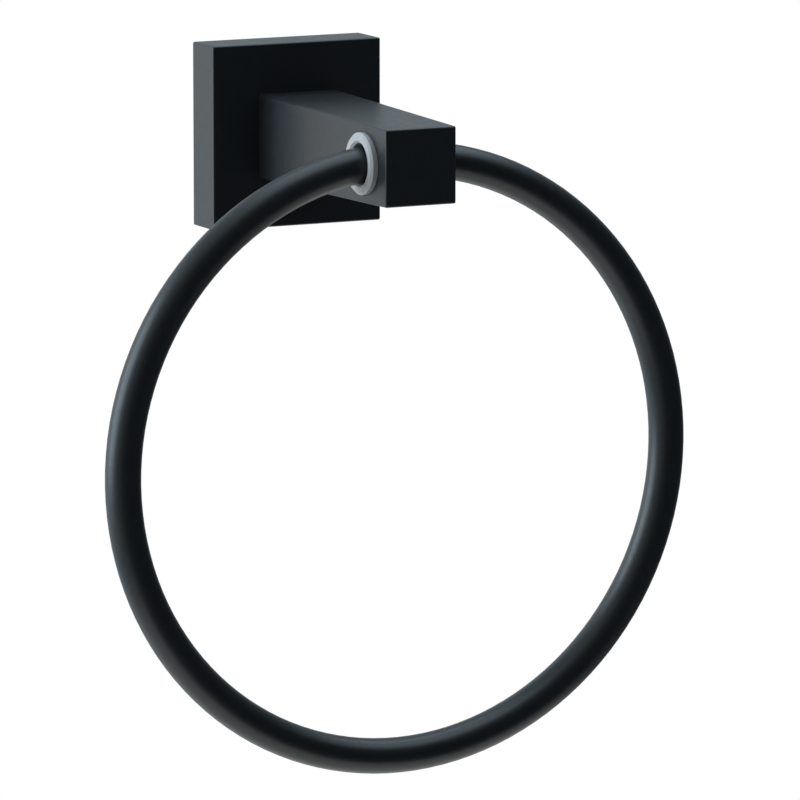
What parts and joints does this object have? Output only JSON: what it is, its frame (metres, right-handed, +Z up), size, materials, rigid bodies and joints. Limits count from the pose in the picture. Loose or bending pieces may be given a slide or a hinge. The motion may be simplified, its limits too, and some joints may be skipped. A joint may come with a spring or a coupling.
{
  "type": "towel ring",
  "caption": "Wall-mounted towel ring: a round bar ring swings freely from the bushed end of a tapered square post on a square wall plate.",
  "frame": {"origin": "on the wall, at the middle of the wall plate's back and of the bracket's two wall holes", "axes": "+Z up, +Y into the wall, +X to the right as one faces the wall; the post stands out along -Y and the ring hangs along -Z"},
  "size_m": [0.1694, 0.089, 0.1893],
  "materials": {
    "black_coating": "satin black powder coat",
    "black_ring_coating": "satin black powder coat",
    "pale_nylon": "natural nylon, moulded",
    "plated_screw_steel": "bright zinc plate",
    "spring_steel": "plain",
    "plated_bracket_steel": "zinc plate",
    "black_screw_steel": "black oxide"
  },
  "bodies": {
    "holder": {"wall_plate": "black_coating", "post": "black_coating", "bushing_left": "pale_nylon", "bushing_right": "pale_nylon", "post_screw": "plated_screw_steel", "lock_washer": "spring_steel", "wall_bracket": "plated_bracket_steel", "set_screw": "black_screw_steel"},
    "ring": {"ring": "black_ring_coating"}
  },
  "joints": [
    {"name": "ring_swing", "type": "hinge", "parent": "holder", "child": "ring", "pos_m": [0, -0.076, 0], "axis": [1, 0, 0], "range_deg": [-206.4, 26.4]}
  ]
}
